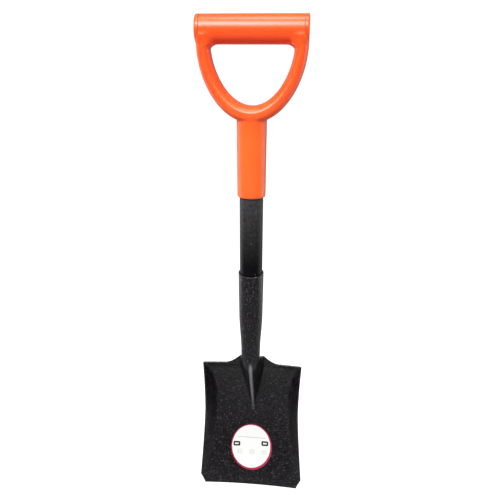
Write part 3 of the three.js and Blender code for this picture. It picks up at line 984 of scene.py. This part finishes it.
def makeWeldTree():
    # a bead: a straight run whose thickness ripples evenly and closes at both ends
    inputs = [("start", "NodeSocketVector", None), ("end", "NodeSocketVector", None),
              ("radius", scalar, 0.0017), ("ripples", scalar, 30.0), ("swell", scalar, 0.15),
              ("finish", "NodeSocketMaterial", None)]
    tree, inside, out = newTree("weldBead", inputs)
    start, end = inside.outputs["start"], inside.outputs["end"]
    line = addNode(tree, "GeometryNodeCurvePrimitiveLine", Start=start, End=end)
    fine = addNode(tree, "GeometryNodeResampleCurve", Curve=line.outputs[0], Count=280)
    along = tree.nodes.new("GeometryNodeSplineParameter").outputs[0]
    turn = maths(tree, "MULTIPLY", maths(tree, "MULTIPLY", along, math.pi), inside.outputs["ripples"])
    wave = maths(tree, "ABSOLUTE", maths(tree, "SINE", turn))
    offMiddle = maths(tree, "ABSOLUTE", maths(tree, "SUBTRACT", maths(tree, "MULTIPLY", along, 2.0), 1.0))
    ends = maths(tree, "POWER", maths(tree, "SUBTRACT", 1.0, maths(tree, "POWER", offMiddle, 24.0)), 0.5)
    swell = inside.outputs["swell"]
    rippled = maths(tree, "ADD", maths(tree, "SUBTRACT", 1.0, swell), maths(tree, "MULTIPLY", wave, swell))
    size = maths(tree, "MAXIMUM", maths(tree, "MULTIPLY", rippled, ends), 0.12)
    thickness = maths(tree, "MULTIPLY", size, inside.outputs["radius"])
    circle = addNode(tree, "GeometryNodeCurvePrimitiveCircle", Resolution=24, Radius=1.0)
    bead = addNode(tree, "GeometryNodeCurveToMesh", Curve=fine.outputs[0], Profile_Curve=circle.outputs[0],
                   Scale=thickness, Fill_Caps=True)
    finishTree(tree, bead, inside, out)
    return tree


def makeWeld():
    bead = meshFrom("weldBead", [(0, 0, 0)], [])
    start, end = [(0, (socketRadius(z) - weldSize["sunk"]) * mm, z * mm)
                  for z in (weldSize["top"], weldSize["bottom"])]
    runTree(bead, makeWeldTree(), start=start, end=end, radius=weldSize["radius"] * mm,
            ripples=float(weldSize["ripples"]), swell=weldSize["swell"], finish=weldCoat)
    faceOut(bead)
    sharpen(bead, 70)
    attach(bead, "root")
    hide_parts("socket_weld")


screwSize = dict(height=sum(span("handle_screw", 2)) / 2, head=4, headHeight=2.4, headBase=0.5, lip=0.3,
                 stand=0.32, shank=1.9, sunk=2.0, recess=1.3, slotLength=4.4, slotWidth=0.9)


def makeScrew():
    size = screwSize
    head, tall, base, stand = size["head"], size["headHeight"], size["headBase"], size["stand"]
    share = (size["height"] - gripSize["sleeveBottom"]) / (gripSize["sleeveTop"] - gripSize["sleeveBottom"])
    sleeveFace = mix(gripSize["sleeveBottomRadius"], gripSize["sleeveTopRadius"], share)
    turns = [math.pi / 2 * i / 12 for i in range(12)]
    domeLine = [(head * math.cos(t) ** 0.6, base + (tall - base) * math.sin(t)) for t in turns]
    profile = [(0, -size["sunk"]), (size["shank"], -size["sunk"]), (size["shank"], stand),
               (head - size["lip"], stand)] + domeLine + [(0, tall)]
    screw = turnedPiece("handleScrew", profile, 48)
    cross = bmesh.new()
    slot = Matrix.Diagonal((size["slotLength"] * mm, size["slotWidth"] * mm, 2 * size["recess"] * mm, 1))
    for turn in (0, math.pi / 2):
        shape = Matrix.Rotation(turn, 4, "Z") @ Matrix.Translation((0, 0, tall * mm)) @ slot
        bmesh.ops.create_cube(cross, size=1, matrix=shape)
    mesh = bpy.data.meshes.new("cross")
    cross.to_mesh(mesh)
    cross.free()
    cut(screw, linkMesh("cross", mesh))
    place = Matrix.Translation((0, sleeveFace * mm, size["height"] * mm))
    placed(screw, place @ Matrix.Rotation(-math.pi / 2, 4, "X"))
    sharpen(screw, 40)
    dress(screw, zincPlate)
    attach(screw, "root")
    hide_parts("handle_screw")


makeRivets()
makeWeld()
makeScrew()
print("fixings made")


# Camera

cameraSetup = dict(azimuth=5.3, elevation=20, roll=0.24, distance=0.654, lens=37.44,
                   aim=(0, 0, -0.2404), slide=-0.0015)


def makeCamera():
    azimuth, elevation, roll = [math.radians(cameraSetup[key]) for key in ("azimuth", "elevation", "roll")]
    back = Vector((math.sin(azimuth) * math.cos(elevation), -math.cos(azimuth) * math.cos(elevation),
                   math.sin(elevation)))
    right = Vector((math.cos(azimuth), math.sin(azimuth), 0))
    up = back.cross(right)
    turn = Matrix((right, up, back)).transposed().to_4x4() @ Matrix.Rotation(roll, 4, "Z")
    camera = bpy.data.objects.new("camera", bpy.data.cameras.new("camera"))
    camera.data.lens = cameraSetup["lens"]
    camera.data.sensor_width = 36
    place = Vector(cameraSetup["aim"]) + back * cameraSetup["distance"] + right * cameraSetup["slide"]
    camera.matrix_world = Matrix.Translation(place) @ turn
    bpy.context.scene.collection.objects.link(camera)
    bpy.context.scene.camera = camera


# Floor and light

floorLook = dict(reach=8, height=-0.78, grey=(0.33, 0.33, 0.33, 1), roughness=0.95, glow=1.0)
studioLight = dict(backdrop=0.25, overhead=0.35, sides=0.03, skySeen=1.05, target=(0, 0, -0.3),
                   keyPlace=(-0.25, -1.15, 0.95), keySize=(0.9, 0.6), keyPower=45,
                   topPlace=(0.0, -0.15, 1.25), topSize=(0.5, 0.3), topPower=9,
                   leftPlace=(-0.8, 0.28, -0.25), leftSize=(0.8, 1.0), leftPower=4.0,
                   rightPlace=(0.8, 0.28, -0.25), rightSize=(0.8, 1.0), rightPower=4.2)


def makeStage():
    # a plain pale floor below the hanging shovel
    reach, height = floorLook["reach"], floorLook["height"]
    corners = [(x * reach, y * reach, height) for x, y in ((-1, -1), (1, -1), (1, 1), (-1, 1))]
    floor = meshFrom("floor", corners, [(0, 1, 2, 3)])
    material, shader = newMaterial("paleFloor")
    tree = material.node_tree
    shader.inputs["Base Color"].default_value = floorLook["grey"]
    shader.inputs["Roughness"].default_value = floorLook["roughness"]
    shader.inputs["Emission Color"].default_value = (1, 1, 1, 1)
    seen = tree.nodes.new("ShaderNodeLightPath").outputs["Is Camera Ray"]
    setInput(tree, shader, "Emission Strength", maths(tree, "MULTIPLY", seen, floorLook["glow"]))
    dress(floor, material)


def addSoftbox(name, place, target, size, power):
    light = bpy.data.lights.new(name, "AREA")
    light.shape = "RECTANGLE"
    light.size, light.size_y = size
    light.energy = power
    box = bpy.data.objects.new(name, light)
    direction = Vector(target) - Vector(place)
    box.matrix_world = Matrix.Translation(place) @ direction.to_track_quat("-Z", "Y").to_matrix().to_4x4()
    box.visible_camera = False
    bpy.context.scene.collection.objects.link(box)


def makeLight():
    # a pale room: bright behind and overhead, dim at the sides and in front
    world = bpy.data.worlds.new("studio")
    world.use_nodes = True
    tree = world.node_tree
    tree.nodes.clear()
    towards = tree.nodes.new("ShaderNodeTexCoord").outputs["Generated"]
    _, back, up = addNode(tree, "ShaderNodeSeparateXYZ", Vector=towards).outputs
    smooth = {"interpolation_type": "SMOOTHSTEP"}
    behind = addNode(tree, "ShaderNodeMapRange", smooth, Value=back, From_Min=-0.1, From_Max=0.8,
                     To_Max=studioLight["backdrop"])
    above = addNode(tree, "ShaderNodeMapRange", smooth, Value=up, From_Min=0.2, From_Max=0.9,
                    To_Max=studioLight["overhead"])
    bright = maths(tree, "MAXIMUM", behind.outputs[0], above.outputs[0])
    room = maths(tree, "ADD", bright, studioLight["sides"])
    seen = tree.nodes.new("ShaderNodeLightPath").outputs["Is Camera Ray"]
    strength = maths(tree, "MAXIMUM", room, maths(tree, "MULTIPLY", seen, studioLight["skySeen"]))
    sky = addNode(tree, "ShaderNodeBackground", Color=(1, 1, 1, 1), Strength=strength)
    output = tree.nodes.new("ShaderNodeOutputWorld")
    tree.links.new(sky.outputs[0], output.inputs[0])
    bpy.context.scene.world = world
    for light in ("key", "top", "left", "right"):
        addSoftbox(light + "Softbox", studioLight[light + "Place"], studioLight["target"],
                   studioLight[light + "Size"], studioLight[light + "Power"])
    bpy.context.scene.view_settings.view_transform = "Standard"


makeCamera()
makeStage()
makeLight()
print("camera, floor and lights made")
